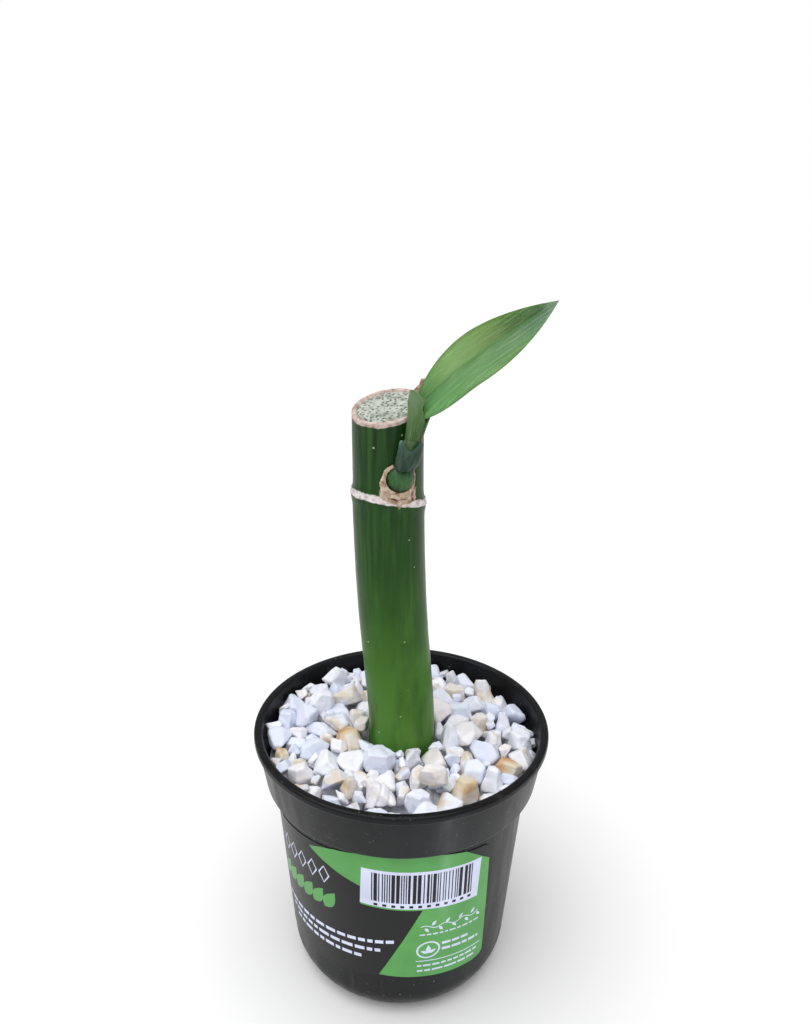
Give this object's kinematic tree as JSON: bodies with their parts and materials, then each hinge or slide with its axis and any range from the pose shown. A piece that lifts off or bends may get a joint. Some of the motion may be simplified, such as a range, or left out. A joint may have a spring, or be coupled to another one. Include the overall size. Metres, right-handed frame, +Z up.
{
  "type": "potted lucky bamboo",
  "caption": "Small potted lucky bamboo: a cut green cane with one young leafy shoot, rooted in soil under crushed white stones, in a tapered black nursery pot with a printed wrap label.",
  "frame": {"origin": "centre of the pot's footprint, on the surface it stands on", "axes": "+Z up along the pot's axis and the cane; -Y is the front, where the label's bar block and the shoot are; +X is to the right, where the leaf points"},
  "size_m": [0.09, 0.09, 0.2084],
  "materials": {
    "pot_plastic": "satin injection-moulded black polypropylene",
    "label_film": "green printed self-adhesive film",
    "potting_soil": "dark crumbly peat",
    "white_stone": "crushed white marble, matt with a faint sparkle",
    "cane_skin": "smooth waxy green stem",
    "root_bark": "matt orange-brown root",
    "shoot_green": "satin young green stem",
    "leaf_green": "satin light green leaf",
    "dry_husk": "dry papery tan scale"
  },
  "bodies": {
    "root": {"pot": "pot_plastic", "label": "label_film", "soil": "potting_soil", "gravel_bed": "white_stone", "cane": "cane_skin", "root_1": "root_bark", "root_2": "root_bark", "root_3": "root_bark", "root_4": "root_bark", "shoot_base": "shoot_green", "bud_husk": "dry_husk", "shoot_stem": "shoot_green", "lower_scale": "shoot_green", "leaf_sheath": "leaf_green", "leaf": "leaf_green", "withered_tip": "dry_husk", "stone_01": "white_stone", "stone_02": "white_stone", "stone_03": "white_stone", "stone_04": "white_stone", "stone_05": "white_stone", "stone_06": "white_stone", "stone_07": "white_stone", "stone_08": "white_stone", "stone_09": "white_stone", "stone_10": "white_stone", "stone_11": "white_stone", "stone_12": "white_stone", "stone_13": "white_stone", "stone_14": "white_stone", "stone_15": "white_stone", "stone_16": "white_stone", "stone_17": "white_stone", "stone_18": "white_stone", "stone_19": "white_stone", "stone_20": "white_stone", "stone_21": "white_stone", "stone_22": "white_stone", "stone_23": "white_stone", "stone_24": "white_stone", "stone_25": "white_stone", "stone_26": "white_stone", "stone_27": "white_stone", "stone_28": "white_stone", "stone_29": "white_stone", "stone_30": "white_stone", "stone_31": "white_stone", "stone_32": "white_stone", "stone_33": "white_stone", "stone_34": "white_stone", "stone_35": "white_stone", "stone_36": "white_stone", "stone_37": "white_stone", "stone_38": "white_stone", "stone_39": "white_stone", "stone_40": "white_stone", "stone_41": "white_stone"}
  },
  "joints": []
}
